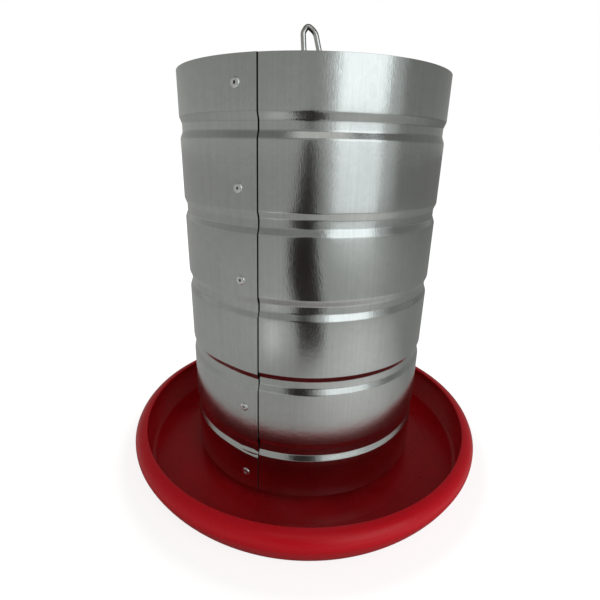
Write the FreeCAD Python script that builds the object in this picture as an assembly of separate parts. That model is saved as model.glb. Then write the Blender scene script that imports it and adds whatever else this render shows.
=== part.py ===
"""Gravity poultry feeder: a beaded sheet-metal hopper tube standing over a moulded feed pan.

Frame: millimetres, +Z up, origin on the tube's axis at the pan's underside.
Azimuth is counted in degrees from the front (-Y) towards +X.
A central hanger rod is bolted to the pan. The hopper tube slides on that rod on two crossbars
and rests, through a washer, on a removable height pin.
"""
import FreeCAD, Part
import math
import os
from FreeCAD import Vector

# Hopper tube
TUBE_RADIUS = 150.0
SHEET = 0.8
LAP_GAP = 0.2
TUBE_BOTTOM = 18.5
TUBE_TOP = 474.3
BEAD_COUNT = 5
BEAD_PITCH = 84.6
BEAD_TOP_LOWER_EDGE = 408.0
BEAD_HEIGHT = 21.6
BEAD_SLOPE = 6.7
BEAD_DEPTH = 2.6

# Lap seam
SEAM_AZIMUTH = -18.9
LAP_ANGLE = 16.0
SEAM_RIVET_ANGLE = 7.9
SEAM_RIVET_HEIGHTS = (452.3, 364.8, 276.0, 128.7, 38.9)

# Blind rivets
RIVET_HOLE_RADIUS = 2.5
RIVET_SHANK_RADIUS = 2.4
RIVET_HEAD_RADIUS = 4.8
RIVET_HEAD_HEIGHT = 1.7
RIVET_BORE_RADIUS = 1.4
RIVET_TAIL_RADIUS = 3.3
RIVET_TAIL_LENGTH = 3.2
MANDREL_RADIUS = 1.3
MANDREL_RECESS = 1.0
MANDREL_HEAD_RADIUS = 2.1
MANDREL_HEAD_LENGTH = 1.8
SEAT_GAP = 0.03

# Feed pan
PAN_WALL = 3.0
PAN_FLOOR_RADIUS = 211.0
PAN_SHOULDER = (219.2, 4.0)
PAN_FLANK = (233.6, 30.0)
PAN_LIP = (220.2, 49.0)
CONE_BASE_RADIUS = 112.0
CONE_TOP_RADIUS = 20.0
CONE_TOP_HEIGHT = 98.0
CONE_BASE_BLEND = 22.0
CONE_TOP_BLEND = 9.0

# Hanger rod and its eye
ROD_RADIUS = 3.0
ROD_BOTTOM = 84.0
ROD_HOLE_RADIUS = 3.1
EYE_CORNERS = ((0.0, 486.5), (-11.2, 497.5), (-12.8, 519.4), (-8.0, 526.4), (0.8, 519.6), (8.4, 490.6),
               (4.6, 482.6))
EYE_BENDS = (4.0, 7.0, 6.0, 3.5, 12.0, 5.0)

# Fasteners on the rod
NUT_ACROSS_FLATS = 10.0
NUT_HEIGHT = 5.0
NUT_BORE_RADIUS = 3.05
WASHER_BORE_RADIUS = 3.2
WASHER_RADIUS = 9.0
WASHER_THICKNESS = 1.5

# Height pin
PIN_RADIUS = 1.5
PIN_HOLE_RADIUS = 1.6
PIN_HOLE_COUNT = 6
PIN_HOLE_PITCH = 12.0
PIN_TIP_Y = 10.0
PIN_RING_CENTRE_Y = -22.0
PIN_RING_RADIUS = 8.0
PIN_TO_WASHER_GAP = 0.3

# Crossbars
BAR_THICKNESS = 2.5
BAR_WIDTH = 25.0
BAR_END_RADIUS = 148.3
BAR_TAB_LENGTH = 25.0
BAR_BEND_RADIUS = 2.0
BAR_ROD_HOLE_RADIUS = 3.5
LOWER_BAR_BOTTOM = 128.0
UPPER_BAR_BOTTOM = 440.0
BAR_RIVET_FROM_FACE = 14.0

AXIS = Vector(0, 0, 1)
LAP_STEP = SHEET + LAP_GAP


def outward(azimuth):
    """Unit vector that points away from the axis at an azimuth."""
    angle = math.radians(azimuth)
    return Vector(math.sin(angle), -math.cos(angle), 0)


def segment(start, end):
    return Part.LineSegment(start, end).toShape()


def ring(outer_radius, inner_radius, bottom, height):
    """Flat ring about the axis."""
    disc = Part.makeCylinder(outer_radius, height, Vector(0, 0, bottom))
    hole = Part.makeCylinder(inner_radius, height + 2, Vector(0, 0, bottom - 1))
    return disc.cut(hole)


def rounded_path(corners, radii):
    """Open wire along straight runs, each inner corner rounded by a tangent arc of its radius."""
    edges = []
    last = corners[0]
    for index in range(1, len(corners) - 1):
        corner = corners[index]
        back = (corners[index - 1] - corner).normalize()
        onward = (corners[index + 1] - corner).normalize()
        half = back.getAngle(onward) / 2
        reach = radii[index - 1] / math.tan(half)
        arc_start = corner + back * reach
        arc_end = corner + onward * reach
        bisector = (back + onward).normalize()
        centre = corner + bisector * (radii[index - 1] / math.sin(half))
        arc_middle = centre - bisector * radii[index - 1]
        edges.append(segment(last, arc_start))
        edges.append(Part.Arc(arc_start, arc_middle, arc_end).toShape())
        last = arc_end
    edges.append(segment(last, corners[-1]))
    return Part.Wire(edges)


def revolve_profile(points):
    """Solid of revolution about the axis from a closed outline of (radius, height) points."""
    corners = [Vector(radius, 0, height) for radius, height in points]
    outline = Part.makePolygon(corners + [corners[0]])
    return Part.Face(outline).revolve(Vector(0, 0, 0), AXIS, 360)


# ---- hopper tube ----

def bead_lower_edges():
    return [BEAD_TOP_LOWER_EDGE - index * BEAD_PITCH for index in range(BEAD_COUNT)]


def sheet_depths():
    """Heights up the tube, each with how far the sheet is pressed inwards there."""
    depths = [(TUBE_BOTTOM, 0.0)]
    for lower in reversed(bead_lower_edges()):
        depths.append((lower, 0.0))
        depths.append((lower + BEAD_SLOPE, BEAD_DEPTH))
        depths.append((lower + BEAD_HEIGHT - BEAD_SLOPE, BEAD_DEPTH))
        depths.append((lower + BEAD_HEIGHT, 0.0))
    depths.append((TUBE_TOP, 0.0))
    return depths


def sheet_arc(centre, radius, start_azimuth, sweep):
    """Beaded sheet rolled about a vertical line through centre, from one azimuth through a sweep."""
    direction = outward(start_azimuth)
    outer = []
    inner = []
    for height, depth in sheet_depths():
        rise = Vector(0, 0, height)
        outer.append(centre + rise + direction * (radius - depth))
        inner.append(centre + rise + direction * (radius - depth - SHEET))
    corners = outer + inner[::-1]
    outline = Part.makePolygon(corners + [corners[0]])
    return Part.Face(outline).revolve(centre, AXIS, sweep)


def back_roll():
    """Centre and radius of the second half of the rolled sheet, which steps in by one lap."""
    centre = outward(SEAM_AZIMUTH) * (-LAP_STEP / 2)
    return centre, TUBE_RADIUS - LAP_STEP / 2


def wall_distance(azimuth):
    """Distance from the axis to the outermost sheet face at an azimuth."""
    turned_left = (SEAM_AZIMUTH - azimuth) % 360
    if turned_left <= 180:
        return TUBE_RADIUS
    centre, radius = back_roll()
    along = centre.dot(outward(azimuth))
    return along + math.sqrt(radius ** 2 - centre.Length ** 2 + along ** 2)


def tube_sheet():
    """One rolled sheet: a front half, a back half that steps in, and a flap tucked under the lap."""
    origin = Vector(0, 0, 0)
    front = sheet_arc(origin, TUBE_RADIUS, SEAM_AZIMUTH, -180)
    centre, radius = back_roll()
    back = sheet_arc(centre, radius, SEAM_AZIMUTH - 180, -180)
    flap = sheet_arc(origin, TUBE_RADIUS - LAP_STEP, SEAM_AZIMUTH, -LAP_ANGLE)
    sheet = front.fuse([back, flap]).removeSplitter()
    holes = []
    for azimuth, height in seam_rivet_places() + bar_rivet_places():
        start = outward(azimuth) * (TUBE_RADIUS - 12) + Vector(0, 0, height)
        holes.append(Part.makeCylinder(RIVET_HOLE_RADIUS, 24, start, outward(azimuth)))
    return sheet.cut(holes)


# ---- blind rivets ----

def seam_rivet_places():
    azimuth = SEAM_AZIMUTH - SEAM_RIVET_ANGLE
    return [(azimuth, height) for height in SEAM_RIVET_HEIGHTS]


def bar_rivet_places():
    """Left and right end rivets of the lower crossbar, then of the upper one."""
    lower = LOWER_BAR_BOTTOM + BAR_THICKNESS - BAR_RIVET_FROM_FACE
    upper = UPPER_BAR_BOTTOM + BAR_RIVET_FROM_FACE
    return [(-90.0, lower), (90.0, lower), (-90.0, upper), (90.0, upper)]


def set_radially(shape, azimuth, height):
    """Turn a shape built along +Z to point outwards, with its zero on the sheet's outer face."""
    direction = outward(azimuth)
    place = direction * wall_distance(azimuth) + Vector(0, 0, height)
    shape.Placement = FreeCAD.Placement(place, FreeCAD.Rotation(AXIS, direction))
    return shape


def blind_rivet(grip):
    """Domed flange outside, shank through the stack, and the swelled tail behind it."""
    tail = -grip - 0.1
    end = tail - RIVET_TAIL_LENGTH
    dome_mid = Vector(RIVET_HEAD_RADIUS * 0.72, 0, RIVET_HEAD_HEIGHT * 0.72)
    crest = Vector(RIVET_BORE_RADIUS + 0.5, 0, RIVET_HEAD_HEIGHT)
    skirt = Vector(RIVET_HEAD_RADIUS, 0, 0.35)
    points = [skirt]
    points.append(Vector(RIVET_HEAD_RADIUS, 0, SEAT_GAP))
    points.append(Vector(RIVET_SHANK_RADIUS, 0, SEAT_GAP))
    points.append(Vector(RIVET_SHANK_RADIUS, 0, tail))
    points.append(Vector(RIVET_TAIL_RADIUS, 0, tail - 0.5))
    points.append(Vector(RIVET_TAIL_RADIUS, 0, tail - 0.6 * RIVET_TAIL_LENGTH))
    points.append(Vector(RIVET_SHANK_RADIUS, 0, end))
    points.append(Vector(RIVET_BORE_RADIUS, 0, end))
    points.append(Vector(RIVET_BORE_RADIUS, 0, RIVET_HEAD_HEIGHT - 0.4))
    points.append(crest)
    edges = [segment(a, b) for a, b in zip(points, points[1:])]
    edges.append(Part.Arc(crest, dome_mid, skirt).toShape())
    return Part.Face(Part.Wire(edges)).revolve(Vector(0, 0, 0), AXIS, 360)


def mandrel(grip):
    """Broken-off setting pin left in the rivet, with its head behind the tail."""
    head_start = -grip - 0.1 - RIVET_TAIL_LENGTH - SEAT_GAP
    head_end = head_start - MANDREL_HEAD_LENGTH
    return revolve_profile([
        (0, RIVET_HEAD_HEIGHT - MANDREL_RECESS), (MANDREL_RADIUS, RIVET_HEAD_HEIGHT - MANDREL_RECESS - 0.2),
        (MANDREL_RADIUS, head_start), (MANDREL_HEAD_RADIUS, head_start),
        (MANDREL_HEAD_RADIUS, head_start - MANDREL_HEAD_LENGTH / 2),
        (MANDREL_HEAD_RADIUS / 2, head_end), (0, head_end)])


def rivets_and_mandrels():
    """Every rivet and its mandrel, by name."""
    pieces = {}
    seam_grip = LAP_STEP + SHEET
    for index, (azimuth, height) in enumerate(seam_rivet_places(), 1):
        pieces[f"seam_rivet_{index}"] = set_radially(blind_rivet(seam_grip), azimuth, height)
        pieces[f"seam_rivet_mandrel_{index}"] = set_radially(mandrel(seam_grip), azimuth, height)
    ends = ("lower_left", "lower_right", "upper_left", "upper_right")
    for end, (azimuth, height) in zip(ends, bar_rivet_places()):
        grip = wall_distance(azimuth) - BAR_END_RADIUS + BAR_THICKNESS
        pieces[f"crossbar_rivet_{end}"] = set_radially(blind_rivet(grip), azimuth, height)
        pieces[f"crossbar_mandrel_{end}"] = set_radially(mandrel(grip), azimuth, height)
    return pieces


# ---- crossbars ----

def crossbar(bottom, tabs_up):
    """Flat strap across the tube with its ends bent along the wall, up or down."""
    strap = Part.makeBox(2 * BAR_END_RADIUS, BAR_WIDTH, BAR_THICKNESS,
                         Vector(-BAR_END_RADIUS, -BAR_WIDTH / 2, bottom))
    tab_bottom = bottom if tabs_up else bottom + BAR_THICKNESS - BAR_TAB_LENGTH
    shell = ring(BAR_END_RADIUS, BAR_END_RADIUS - BAR_THICKNESS, tab_bottom, BAR_TAB_LENGTH)
    band = Part.makeBox(4 * TUBE_RADIUS, BAR_WIDTH, TUBE_TOP, Vector(-2 * TUBE_RADIUS, -BAR_WIDTH / 2, 0))
    tabs = shell.common(band)
    rolled = Part.makeCylinder(BAR_END_RADIUS, BAR_THICKNESS, Vector(0, 0, bottom))
    bar = strap.common(rolled).fuse(tabs).removeSplitter()
    bend_height = bottom + BAR_THICKNESS if tabs_up else bottom
    inner_reach = BAR_END_RADIUS - BAR_THICKNESS
    bends = []
    for edge in bar.Edges:
        middle = edge.CenterOfMass
        at_bend = abs(middle.z - bend_height) < 0.01 and abs(abs(middle.x) - inner_reach) < 1.0
        if at_bend and edge.BoundBox.YLength > BAR_WIDTH - 1:
            bends.append(edge)
    bar = bar.makeFillet(BAR_BEND_RADIUS, bends)
    rod_hole = Part.makeCylinder(BAR_ROD_HOLE_RADIUS, 3 * BAR_THICKNESS, Vector(0, 0, bottom - BAR_THICKNESS))
    rivet_height = bottom + BAR_RIVET_FROM_FACE if tabs_up else bottom + BAR_THICKNESS - BAR_RIVET_FROM_FACE
    end_holes = Part.makeCylinder(RIVET_HOLE_RADIUS, 2 * TUBE_RADIUS,
                                  Vector(-TUBE_RADIUS, 0, rivet_height), Vector(1, 0, 0))
    return bar.cut([rod_hole, end_holes])


# ---- feed pan ----

def tangent_arc(start, direction, end):
    """Arc in the XZ plane that leaves start along direction and reaches end; also its end heading."""
    chord = end - start
    normal = Vector(-direction.z, 0, direction.x)
    radius = chord.dot(chord) / (2 * chord.dot(normal))
    centre = start + normal * radius
    middle_way = ((start - centre).normalize() + (end - centre).normalize()).normalize()
    arc = Part.Arc(start, centre + middle_way * abs(radius), end).toShape()
    out = (end - centre).normalize()
    heading = Vector(-out.z, 0, out.x) if radius > 0 else Vector(out.z, 0, -out.x)
    return arc, heading


def pan_outside():
    """Underside and outer wall of the pan, from the hub's hole out to the rolled-in lip."""
    slope = Vector(CONE_TOP_RADIUS - CONE_BASE_RADIUS, 0, CONE_TOP_HEIGHT - PAN_WALL)
    drop = PAN_WALL * math.tan(math.atan2(slope.z, -slope.x) / 2)
    hub = Vector(ROD_HOLE_RADIUS, 0, CONE_TOP_HEIGHT - PAN_WALL)
    cone_top = Vector(CONE_TOP_RADIUS - drop, 0, CONE_TOP_HEIGHT - PAN_WALL)
    cone_base = Vector(CONE_BASE_RADIUS - drop, 0, 0)
    floor_end = Vector(PAN_FLOOR_RADIUS, 0, 0)
    radii = [CONE_TOP_BLEND - PAN_WALL, CONE_BASE_BLEND + PAN_WALL]
    edges = list(rounded_path([hub, cone_top, cone_base, floor_end], radii).Edges)
    place = floor_end
    heading = Vector(1, 0, 0)
    for radius, height in (PAN_SHOULDER, PAN_FLANK, PAN_LIP):
        goal = Vector(radius, 0, height)
        arc, heading = tangent_arc(place, heading, goal)
        edges.append(arc)
        place = goal
    return edges, place, heading


def pan():
    """Moulded pan of one wall thickness: cone in the middle, flat floor, bulged wall, inturned lip."""
    outside, lip_top, heading = pan_outside()
    inside = Part.Wire(outside).makeOffset2D(PAN_WALL, 0, False, True)
    lip_under = lip_top + Vector(-heading.z, 0, heading.x) * PAN_WALL
    tip_middle = (lip_top + lip_under) * 0.5 + heading * (PAN_WALL / 2)
    tip = Part.Arc(lip_top, tip_middle, lip_under).toShape()
    hub_top = Vector(ROD_HOLE_RADIUS, 0, CONE_TOP_HEIGHT)
    hub_hole = segment(hub_top, hub_top - AXIS * PAN_WALL)
    edges = Part.__sortEdges__(outside + [tip] + list(inside.Edges) + [hub_hole])
    return Part.Face(Part.Wire(edges)).revolve(Vector(0, 0, 0), AXIS, 360)


# ---- hanger rod ----

def pin_height():
    return LOWER_BAR_BOTTOM - WASHER_THICKNESS - PIN_TO_WASHER_GAP - PIN_RADIUS


def hanger_rod():
    """Round rod with a closed pointed eye bent at its top and cross holes for the height pin."""
    corners = [Vector(0, 0, ROD_BOTTOM)] + [Vector(x, 0, z) for x, z in EYE_CORNERS]
    path = rounded_path(corners, EYE_BENDS)
    section = Part.Wire(Part.makeCircle(ROD_RADIUS, corners[0], AXIS))
    rod = path.makePipeShell([section], True, True)
    holes = []
    for index in range(PIN_HOLE_COUNT):
        height = pin_height() + index * PIN_HOLE_PITCH
        start = Vector(0, -2 * ROD_RADIUS, height)
        holes.append(Part.makeCylinder(PIN_HOLE_RADIUS, 4 * ROD_RADIUS, start, Vector(0, 1, 0)))
    return rod.cut(holes)


def washer(bottom):
    return ring(WASHER_RADIUS, WASHER_BORE_RADIUS, bottom, WASHER_THICKNESS)


def nut(bottom):
    """Hexagon nut with its corners chamfered."""
    corner_radius = NUT_ACROSS_FLATS / math.sqrt(3)
    corners = []
    for index in range(7):
        angle = math.radians(60 * index)
        corners.append(Vector(corner_radius * math.cos(angle), corner_radius * math.sin(angle), bottom))
    prism = Part.Face(Part.makePolygon(corners)).extrude(Vector(0, 0, NUT_HEIGHT))
    waist = NUT_ACROSS_FLATS / 2 + 0.1
    barrel = revolve_profile([(0, bottom), (waist, bottom), (corner_radius, bottom + 0.6),
                              (corner_radius, bottom + NUT_HEIGHT - 0.6), (waist, bottom + NUT_HEIGHT),
                              (0, bottom + NUT_HEIGHT)])
    bore = Part.makeCylinder(NUT_BORE_RADIUS, NUT_HEIGHT + 2, Vector(0, 0, bottom - 1))
    return prism.common(barrel).cut(bore)


def height_pin():
    """Round wire pin with a finger ring, through the rod below the lower crossbar."""
    height = pin_height()
    centre = Vector(0, PIN_RING_CENTRE_Y, height)
    loop = Part.makeTorus(PIN_RING_RADIUS, PIN_RADIUS, centre, AXIS)
    shaft_start = PIN_RING_CENTRE_Y + PIN_RING_RADIUS
    length = PIN_TIP_Y - shaft_start
    shaft = Part.makeCylinder(PIN_RADIUS, length, Vector(0, shaft_start, height), Vector(0, 1, 0))
    tip = Part.makeSphere(PIN_RADIUS, Vector(0, PIN_TIP_Y, height))
    return shaft.fuse([tip, loop])


def build():
    """Every sub-part, by node name."""
    hub_top = CONE_TOP_HEIGHT
    hub_under = CONE_TOP_HEIGHT - PAN_WALL
    nodes = {
        "pan": pan(),
        "hanger_rod": hanger_rod(),
        "pan_upper_washer": washer(hub_top),
        "pan_upper_nut": nut(hub_top + WASHER_THICKNESS),
        "pan_lower_washer": washer(hub_under - WASHER_THICKNESS),
        "pan_lower_nut": nut(hub_under - WASHER_THICKNESS - NUT_HEIGHT),
        "tube_rest_washer": washer(LOWER_BAR_BOTTOM - WASHER_THICKNESS),
        "tube_sheet": tube_sheet(),
        "lower_crossbar": crossbar(LOWER_BAR_BOTTOM, False),
        "upper_crossbar": crossbar(UPPER_BAR_BOTTOM, True),
        "height_pin": height_pin(),
    }
    nodes.update(rivets_and_mandrels())
    return nodes


os.makedirs("parts", exist_ok=True)
for name, shape in build().items():
    solid = shape.Solids[0] if len(shape.Solids) == 1 else shape
    print(name, len(shape.Solids), "solid", solid.isValid(), round(solid.Volume, 1))
    solid.exportStep(f"parts/{name}.step")
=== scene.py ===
"""Looks of a gravity poultry feeder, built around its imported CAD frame.

Metres, +Z up, -Y is the front. Azimuth is counted in degrees from the front towards +X.
The rolled sheet tube, the moulded pan, the rod with its eye, the crossbars, the pin and
all fasteners are remade here as finer meshes in the places that the frame gives.
"""
import math

import bmesh
import bpy
from mathutils import Matrix, Vector, noise


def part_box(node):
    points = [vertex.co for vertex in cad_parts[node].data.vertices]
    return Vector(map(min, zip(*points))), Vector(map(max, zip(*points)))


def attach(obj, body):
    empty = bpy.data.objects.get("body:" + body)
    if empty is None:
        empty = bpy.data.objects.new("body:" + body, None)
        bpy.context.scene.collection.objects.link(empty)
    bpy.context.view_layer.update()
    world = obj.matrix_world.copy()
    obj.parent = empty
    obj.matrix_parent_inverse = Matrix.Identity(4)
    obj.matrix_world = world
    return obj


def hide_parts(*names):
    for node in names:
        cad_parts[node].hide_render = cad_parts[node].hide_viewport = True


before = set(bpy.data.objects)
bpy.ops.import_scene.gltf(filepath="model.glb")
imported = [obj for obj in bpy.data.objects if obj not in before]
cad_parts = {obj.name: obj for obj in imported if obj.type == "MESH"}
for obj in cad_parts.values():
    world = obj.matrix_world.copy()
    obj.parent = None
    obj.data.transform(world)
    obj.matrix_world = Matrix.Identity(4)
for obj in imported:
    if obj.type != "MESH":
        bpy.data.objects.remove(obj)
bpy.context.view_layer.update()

MM = 0.001
TAU = 2 * math.pi

# ---- driving dimensions ----

TUBE_LOW, TUBE_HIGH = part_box("tube_sheet")
TUBE_BOTTOM = TUBE_LOW[2]
TUBE_TOP = TUBE_HIGH[2]
TUBE_RADIUS = 150.0 * MM
SHEET = 0.8 * MM
LAP_STEP = 1.0 * MM
LAP_ANGLE = 16.0
SEAM_AZIMUTH = -18.9
SEAM_TOP_AZIMUTH = -18.85
SEAM_BOTTOM_AZIMUTH = -20.95
SEAM_LIFT = 0.3 * MM
SEAM_LIFT_TURN = 3.5
SEAM_LEAN_TURN = 12
EDGE_BREAK = 0.15 * MM
LAP_SHADE = 0.006
LAP_SHADE_FOOT = (62.0 * MM, 68.0 * MM)
SEAM_STEP = 0.7
SEAM_STEPS = 12
ROLL_STEP = 1.5

BEAD_COUNT = 5
BEAD_PITCH = 84.6 * MM
BEAD_TOP_LOWER_EDGE = 408.0 * MM
BEAD_HEIGHT = 21.6 * MM
BEAD_SLOPE = 6.7 * MM
BEAD_DEPTH = 2.6 * MM
BEAD_ROUNDING = 0.8 * MM
BEAD_END_DROP = 5.2 * MM
BEAD_END_RISE = 0.8 * MM
BEAD_SAG = 1.5 * MM
ROW_SPACING = 6.0 * MM

RIVET_HEAD_RADIUS = 4.8 * MM
RIVET_HEAD_HEIGHT = 1.7 * MM
RIVET_SHANK_RADIUS = 2.4 * MM
RIVET_BORE_RADIUS = 1.4 * MM
RIVET_TAIL_RADIUS = 3.3 * MM
RIVET_TAIL_LENGTH = 3.2 * MM
MANDREL_RADIUS = 1.3 * MM
MANDREL_HEAD_RADIUS = 2.1 * MM
MANDREL_HEAD_LENGTH = 1.8 * MM
MANDREL_RECESS = 1.0 * MM

BAR_THICKNESS = 2.5 * MM
BAR_END_RADIUS = 148.3 * MM
BAR_WIDTH = 25.0 * MM
BAR_TAB_LENGTH = 25.0 * MM
BAR_BEND_INSIDE = 2.0 * MM
BAR_TAB_CORNER = 5.0 * MM
BAR_EDGE = 0.5 * MM
RIGHT_GRIP_SAVING = 0.34 * MM
BAR_ROD_HOLE_RADIUS = 3.5 * MM
RIVET_HOLE_RADIUS = 2.5 * MM

PAN_WALL = 3.0 * MM
PAN_FLOOR_RADIUS = 211.0 * MM
PAN_SHOULDER = (219.2 * MM, 4.0 * MM)
PAN_FLANK = (233.6 * MM, 30.0 * MM)
PAN_LIP = (220.2 * MM, 49.0 * MM)
CONE_BASE_RADIUS = 112.0 * MM
CONE_TOP_RADIUS = 20.0 * MM
CONE_TOP_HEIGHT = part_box("pan")[1][2]
CONE_BASE_BLEND = 22.0 * MM
CONE_TOP_BLEND = 9.0 * MM
HUB_HOLE_RADIUS = 3.1 * MM
FLOOR_RING_RADIUS = 174.6 * MM
FLOOR_RING_WIDTH = 0.8 * MM
PARTING_HEIGHT = 38.0 * MM
PARTING_WIDTH = 0.5 * MM
PARTING_RIDGE = 0.22 * MM
FOOT_RECESS = 0.8 * MM
PAN_SEGMENTS = 224

ROD_RADIUS = 3.0 * MM
ROD_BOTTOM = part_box("hanger_rod")[0][2]
# corners of the eye as (sideways, height) and the bend at each but the last, all in millimetres
EYE_CORNERS = ((0.0, 486.5), (-11.2, 497.5), (-12.8, 519.4), (-8.0, 526.4), (0.8, 519.6), (8.4, 490.6),
               (4.6, 482.6))
EYE_BENDS = (4.0, 7.0, 6.0, 3.5, 12.0, 5.0)
THREAD_PITCH = 1.0 * MM
THREAD_DEPTH = 0.45 * MM
THREAD_TOP = CONE_TOP_HEIGHT + 9.0 * MM

NUT_ACROSS_FLATS = 10.0 * MM
PIN_RADIUS = 1.5 * MM
PIN_HOLE_RADIUS = 1.6 * MM
PIN_HOLE_COUNT = 6
PIN_HOLE_PITCH = 12.0 * MM
PIN_RING_CENTRE_Y = -22.0 * MM
PIN_RING_RADIUS = 8.0 * MM
PIN_RING_SIDES = 8
PIN_RING_END = 333
WASHER_BORE_RADIUS = 3.2 * MM

SHARP_ANGLE = 32.0
END_STEPS = 5
CUTTER_SEGMENTS = 32

FLOOR_LIFT = 0.85
FLOOR_REACH = 40.0
FLOOR_DEPTH = -0.2 * MM
# (x, y, reach, radiance) of each soft pool of light on the floor
FLOOR_POOLS = ((0.36, -0.36, 0.42, 0.45), (-0.30, -0.56, 0.13, 0.50), (1.0, -1.0, 0.7, 0.16))
DARK_CARD_Y = -0.56
# (height, left, right) up the dark card
DARK_CARD_EDGES = ((0.0, -0.06, 0.13), (0.10, -0.12, 0.10), (0.16, -0.16, 0.075), (0.20, -0.155, 0.05),
                   (0.24, -0.15, 0.042), (0.31, -0.10, 0.03), (0.38, -0.07, 0.022), (0.44, -0.05, 0.0))
DAYLIGHT = (0.90, 0.975, 1.0)
LAMPLIGHT = (1.0, 1.0, 0.97)
# (name, azimuth, distance, height, width, tall, radiance, colour, height aimed at)
LIGHTS = (
    ("window", 37, 1.95, 1.10, 1.50, 1.15, 1.10, DAYLIGHT, 0.45),
    ("window_sill", 36, 1.75, 0.27, 1.20, 0.50, 0.62, DAYLIGHT, 0.30),
    ("curtain", 40, 2.10, 0.75, 2.50, 1.45, 0.28, DAYLIGHT, 0.40),
    ("overhead", 8, 1.15, 1.75, 1.3, 0.9, 0.5, LAMPLIGHT, 0.3))
# (from low, from high, to low, to high) of the room light's three fades
ROOM_RISE = (0.0, 0.22, 0.42, 0.30)
ROOM_SIDE = (-0.2, 0.9, 1.0, 0.65)
ROOM_ZENITH = (0.35, 0.85, 1.0, 0.4)
ROOM_COLOUR = (0.985, 1.0, 0.965, 1)

CAMERA_PLACE = (-5.4 * MM, -533.65 * MM, 401.0 * MM)
CAMERA_LENS = 25.29
CAMERA_PITCH = 19.87
CAMERA_ROLL = 1.24
CAMERA_PAN = -0.48


# ---- small geometry helpers ----

def outward(azimuth):
    """Unit vector that points away from the tube's axis at an azimuth."""
    angle = math.radians(azimuth)
    return Vector((math.sin(angle), -math.cos(angle), 0))


def smooth(value):
    """Ease from 0 to 1, held at both ends."""
    value = min(max(value, 0.0), 1.0)
    return value * value * (3 - 2 * value)


def arc_points(centre, radius, start, end, steps):
    """Points along an arc in a plane, ends included; angles in radians."""
    angles = [start + (end - start) * step / steps for step in range(steps + 1)]
    return [(centre[0] + radius * math.cos(a), centre[1] + radius * math.sin(a)) for a in angles]


def without_repeats(points, gap=1e-6):
    kept = [points[0]]
    for point in points[1:]:
        if math.dist(point, kept[-1]) > gap:
            kept.append(point)
    return kept


def spaced(points, step):
    """The same outline with extra points, so that no straight run is longer than step."""
    dense = [points[0]]
    for start, end in zip(points, points[1:]):
        parts = max(1, math.ceil(math.dist(start, end) / step))
        for part in range(1, parts + 1):
            share = part / parts
            dense.append(tuple(a + (b - a) * share for a, b in zip(start, end)))
    return dense


def new_piece(name, vertices, faces, material, sharp=SHARP_ANGLE):
    """Mesh object with outward normals, smooth except at edges sharper than an angle in degrees."""
    mesh = bpy.data.meshes.new(name)
    mesh.from_pydata([tuple(v) for v in vertices], [], faces)
    work = bmesh.new()
    work.from_mesh(mesh)
    bmesh.ops.remove_doubles(work, verts=work.verts, dist=1e-7)
    bmesh.ops.recalc_face_normals(work, faces=work.faces)
    work.to_mesh(mesh)
    work.free()
    mesh.shade_smooth()
    mesh.set_sharp_from_angle(angle=math.radians(sharp))
    mesh.materials.append(material)
    piece = bpy.data.objects.new(name, mesh)
    bpy.context.collection.objects.link(piece)
    return piece


def settle(piece, node, body):
    """Let a finished piece stand for one CAD node of the same place."""
    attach(piece, body)
    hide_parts(node)


def band_faces(rings, closed=False):
    """Faces between neighbouring rings, each used for as many vertices as the first ring has.

    At a pole, where a ring repeats one vertex, the quads become triangles.
    """
    faces = []
    size = len(rings[0])
    for lower, upper in zip(rings, rings[1:] + rings[:1] if closed else rings[1:]):
        for index in range(size):
            onward = (index + 1) % size
            face = list(dict.fromkeys([lower[index], lower[onward], upper[onward], upper[index]]))
            if len(face) > 2:
                faces.append(face)
    return faces


def lathe(outline, segments, closed, place=Matrix.Identity(4), shift=None):
    """Vertices and faces of an outline of (radius, height) points turned about the local Z axis."""
    vertices = []
    rows = []
    for radius, height in outline:
        if radius < 1e-7:
            vertices.append(place @ Vector((0, 0, height)))
            rows.append([len(vertices) - 1] * segments)
            continue
        row = []
        for index in range(segments):
            angle = TAU * index / segments
            grow, rise = shift(angle, radius, height) if shift else (0.0, 0.0)
            reach = radius + grow
            spot = Vector((reach * math.cos(angle), reach * math.sin(angle), height + rise))
            row.append(len(vertices))
            vertices.append(place @ spot)
        rows.append(row)
    return vertices, band_faces(rows, closed)


def rounded_path(corners, radii, step):
    """Points along straight runs whose inner corners are rounded by tangent arcs."""
    points = [corners[0]]
    for index in range(1, len(corners) - 1):
        corner = corners[index]
        back = (corners[index - 1] - corner).normalized()
        onward = (corners[index + 1] - corner).normalized()
        half = back.angle(onward) / 2
        radius = radii[index - 1]
        centre = corner + (back + onward).normalized() * (radius / math.sin(half))
        start = corner + back * (radius / math.tan(half)) - centre
        end = corner + onward * (radius / math.tan(half)) - centre
        turn = start.angle(end)
        axis = start.cross(end).normalized()
        parts = max(3, math.ceil(turn * radius / step))
        for part in range(parts + 1):
            points.append(centre + Matrix.Rotation(turn * part / parts, 3, axis) @ start)
    points.append(corners[-1])
    dense = [points[0]]
    for start, end in zip(points, points[1:]):
        parts = max(1, math.ceil((end - start).length / (step * 6)))
        for part in range(1, parts + 1):
            dense.append(start.lerp(end, part / parts))
    return [dense[0]] + [b for a, b in zip(dense, dense[1:]) if (b - a).length > 1e-6]


def rounded_end(tip, inwards, heading, radius, end_round):
    """Centre, heading and radius of the rings of a rounded wire end, from its tip inwards."""
    rings = []
    for step in range(END_STEPS):
        rise = math.sin(math.pi / 2 * step / END_STEPS)
        reach = radius - end_round * (1 - math.sqrt(1 - (1 - rise) ** 2))
        rings.append((tip + inwards * (end_round * rise), heading, reach))
    return rings


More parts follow.
